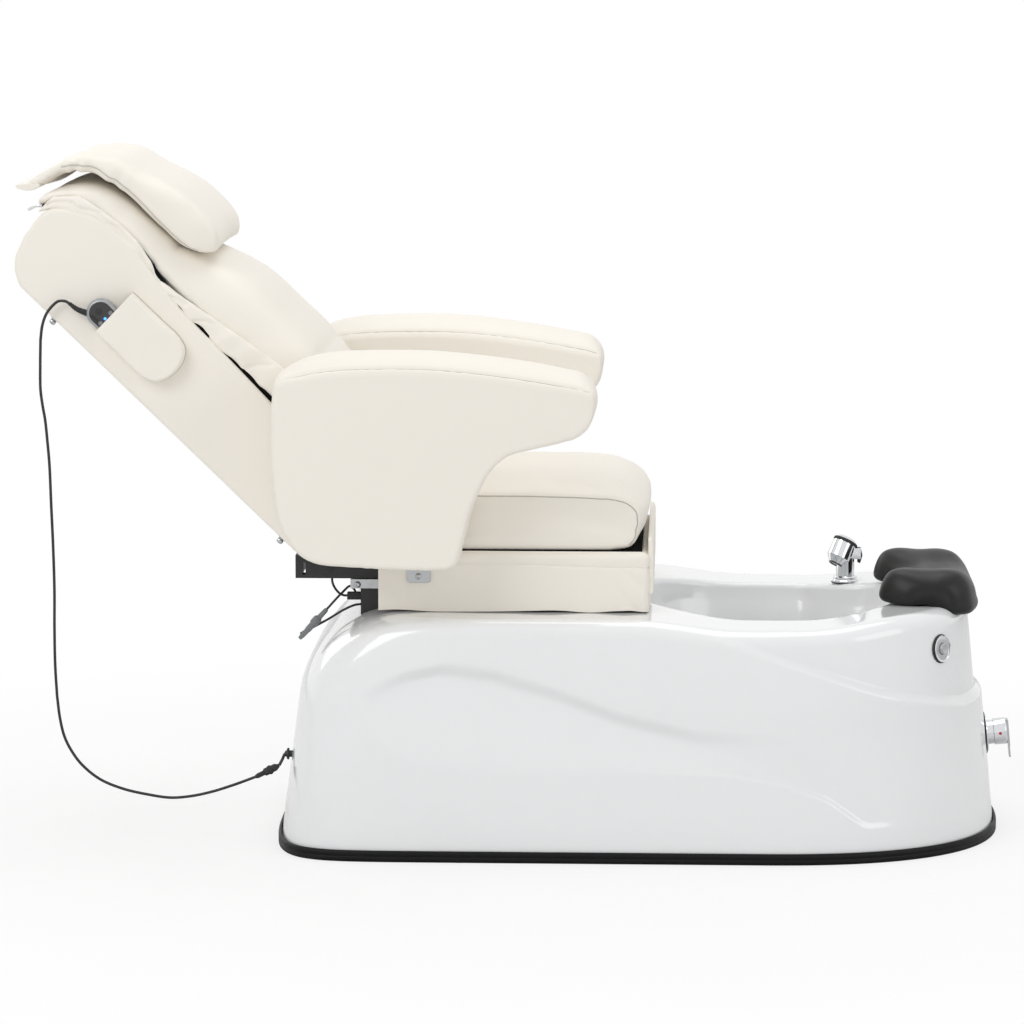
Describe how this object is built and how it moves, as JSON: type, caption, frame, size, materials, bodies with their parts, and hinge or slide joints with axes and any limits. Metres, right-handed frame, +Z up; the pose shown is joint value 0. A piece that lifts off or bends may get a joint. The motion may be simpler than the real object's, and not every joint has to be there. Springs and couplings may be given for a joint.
{
  "type": "pedicure spa chair",
  "caption": "Reclining upholstered salon chair on a moulded tub with a foot basin, footrest, hand spray, mixer tap and a corded handset in a side pocket.",
  "frame": {"origin": "on the floor, under the middle of the chair's length and width", "axes": "+X toward the foot basin and footrest, +Y toward the sitter's left, +Z up"},
  "size_m": [1.7046, 0.74, 1.162],
  "materials": {
    "gelcoat": "glossy white moulding",
    "black_rubber": "matt black rubber",
    "black_foam": "satin black moulded foam skin",
    "black_steel": "black powder coat",
    "zinc_steel": "zinc plated",
    "chrome": "polished chrome",
    "ivory_leatherette": "smooth ivory leatherette",
    "white_plastic": "white plastic",
    "grey_plastic": "grey plastic",
    "black_plastic": "black plastic",
    "lens": "clear lamp lens"
  },
  "bodies": {
    "tub": {"tub_skirt": "gelcoat", "basin_bowl": "gelcoat", "bumper_strip": "black_rubber", "base_frame": "zinc_steel", "rubber_foot_near_rear": "black_rubber", "rubber_foot_near_front": "black_rubber", "rubber_foot_far_rear": "black_rubber", "rubber_foot_far_front": "black_rubber", "water_pump": "black_plastic", "control_box": "white_plastic", "mains_inlet": "black_plastic", "jet_near": "chrome", "jet_far": "chrome", "suction_cover": "chrome", "basin_light": "lens", "drain_fitting": "chrome", "spray_flange": "chrome", "air_button_bezel": "chrome", "mixer_body": "chrome", "pedestal_frame": "black_steel", "rail_near": "zinc_steel", "rail_far": "zinc_steel", "slide_motor": "zinc_steel", "cord_lower": "black_rubber", "cord_connector": "black_plastic", "cord_gland": "black_rubber", "harness_lead_loop": "black_rubber", "harness_lead_tail": "black_rubber", "harness_lead_return": "black_rubber", "harness_plug_tail": "black_plastic", "harness_plug_loop": "black_plastic"},
    "drain_plug": {"drain_plug": "black_rubber"},
    "spray_head": {"spray_head": "chrome"},
    "spray_lever": {"spray_lever": "black_plastic"},
    "air_button": {"air_button_cap": "chrome"},
    "mixer_cap": {"mixer_cap": "chrome"},
    "mixer_lever": {"mixer_lever": "chrome"},
    "footrest": {"footrest_pad": "black_foam"},
    "seat": {"seat_frame": "black_steel", "seat_base": "ivory_leatherette", "seat_apron": "ivory_leatherette", "seat_cushion": "ivory_leatherette", "arm_near": "ivory_leatherette", "arm_far": "ivory_leatherette", "arm_bracket_near": "black_steel", "arm_bracket_far": "black_steel", "actuator_body": "black_plastic", "cord_middle": "black_rubber"},
    "actuator_rod": {"actuator_rod": "zinc_steel"},
    "backrest": {"back_shell": "ivory_leatherette", "back_frame": "black_steel", "back_pad": "ivory_leatherette", "head_pillow": "ivory_leatherette", "side_pocket": "ivory_leatherette"},
    "massage_carriage": {"massage_carriage": "grey_plastic"},
    "kneading_wheel_near": {"kneading_wheel_near": "black_rubber"},
    "kneading_wheel_far": {"kneading_wheel_far": "black_rubber"},
    "handset": {"handset": "grey_plastic", "cord_upper": "black_rubber"},
    "handset_button": {"handset_button": "black_plastic"}
  },
  "joints": [
    {"name": "seat_slide", "type": "slide", "parent": "tub", "child": "seat", "axis": [1, 0, 0], "range_m": [0, 0.1]},
    {"name": "back_recline", "type": "hinge", "parent": "seat", "child": "backrest", "pos_m": [-0.319, 0, 0.47], "axis": [0, 1, 0], "range_deg": [0, 27]},
    {"name": "actuator_extend", "type": "slide", "parent": "seat", "child": "actuator_rod", "axis": [-1, 0, 0], "range_m": [0, 0.018]},
    {"name": "carriage_travel", "type": "slide", "parent": "backrest", "child": "massage_carriage", "axis": [-0.7169, 0, 0.6972], "range_m": [0, 0.3]},
    {"name": "kneading_wheel_near_spin", "type": "hinge", "parent": "massage_carriage", "child": "kneading_wheel_near", "pos_m": [-0.44006, -0.07, 0.73279], "axis": [0, 1, 0], "continuous": true},
    {"name": "kneading_wheel_far_spin", "type": "hinge", "parent": "massage_carriage", "child": "kneading_wheel_far", "pos_m": [-0.44006, 0.07, 0.73279], "axis": [0, 1, 0], "continuous": true},
    {"name": "handset_lift", "type": "slide", "parent": "backrest", "child": "handset", "axis": [-0.7169, 0, 0.6972], "range_m": [0, 0.06]},
    {"name": "handset_button_press", "type": "slide", "parent": "handset", "child": "handset_button", "axis": [0, 1, 0], "range_m": [0, 0.0012], "stiffness_N_per_m": 900},
    {"name": "footrest_lift", "type": "slide", "parent": "tub", "child": "footrest", "axis": [0, 0, 1], "range_m": [0, 0.12]},
    {"name": "spray_lift", "type": "slide", "parent": "tub", "child": "spray_head", "axis": [0, 0, 1], "range_m": [0, 0.15]},
    {"name": "spray_lever_press", "type": "hinge", "parent": "spray_head", "child": "spray_lever", "pos_m": [0.595, 0.172, 0.44595], "axis": [0, 1, 0], "range_deg": [0, 8], "stiffness_Nm_per_rad": 0.6},
    {"name": "air_button_press", "type": "slide", "parent": "tub", "child": "air_button", "axis": [-0.7878, 0.6086, -0.0953], "range_m": [0, 0.004], "stiffness_N_per_m": 600},
    {"name": "mixer_temperature", "type": "hinge", "parent": "tub", "child": "mixer_cap", "pos_m": [0.8064, 0, 0.156], "axis": [0.995, 0, 0.0995], "range_deg": [-50, 50]},
    {"name": "mixer_flow", "type": "hinge", "parent": "mixer_cap", "child": "mixer_lever", "pos_m": [0.8425, 0, 0.1797], "axis": [0, -1, 0], "range_deg": [0, 20]},
    {"name": "drain_plug_lift", "type": "slide", "parent": "tub", "child": "drain_plug", "axis": [0, 0, 1], "range_m": [0, 0.03]}
  ],
  "couplings": [
    {"joint": "actuator_extend", "follows": "back_recline", "m_per_rad": 0.0377}
  ]
}
